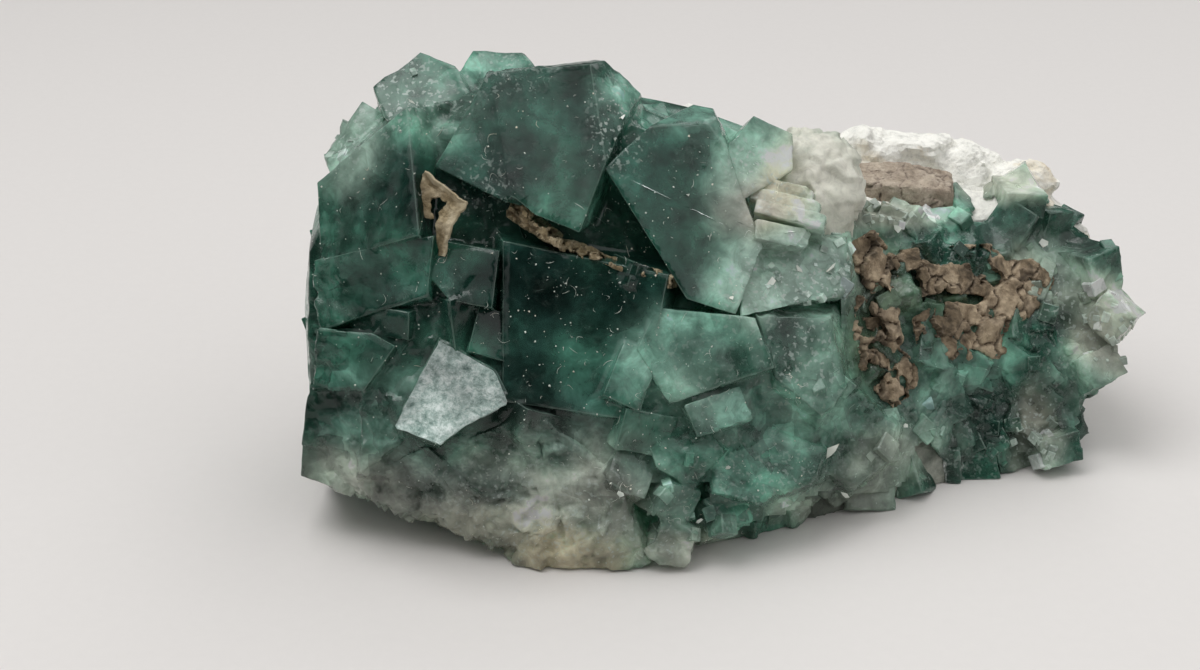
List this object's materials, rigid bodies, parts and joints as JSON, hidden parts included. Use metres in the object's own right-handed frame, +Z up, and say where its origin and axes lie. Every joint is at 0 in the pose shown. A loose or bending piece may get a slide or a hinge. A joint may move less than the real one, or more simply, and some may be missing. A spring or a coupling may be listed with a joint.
{
  "type": "fluorite mineral specimen",
  "caption": "Broken lump of intergrown green cubic fluorite crystals, large dark blocks at one end and fine druse at the other, on pale matrix rock with dried clay.",
  "frame": {"origin": "on the ground under the middle of the piece's box", "axes": "+Z up with the piece resting on its flat base, +X along its length towards the fine druse, -Y towards the display face"},
  "size_m": [0.0956, 0.0519, 0.0485],
  "materials": {
    "green_fluorite": "glassy cleaved and grown crystal faces",
    "matrix_rock": "broken and chalky",
    "brown_clay": "dry, cracked",
    "slab_clay": "dry, flat",
    "flap_clay": "thin dry skin",
    "seam_clay": "dry, packed in a joint"
  },
  "bodies": {
    "root": {"fluorite": "green_fluorite", "host_rock": "matrix_rock", "clay_patch": "brown_clay", "clay_slab": "slab_clay", "ochre_flap": "flap_clay", "ochre_seam": "seam_clay"}
  },
  "joints": []
}
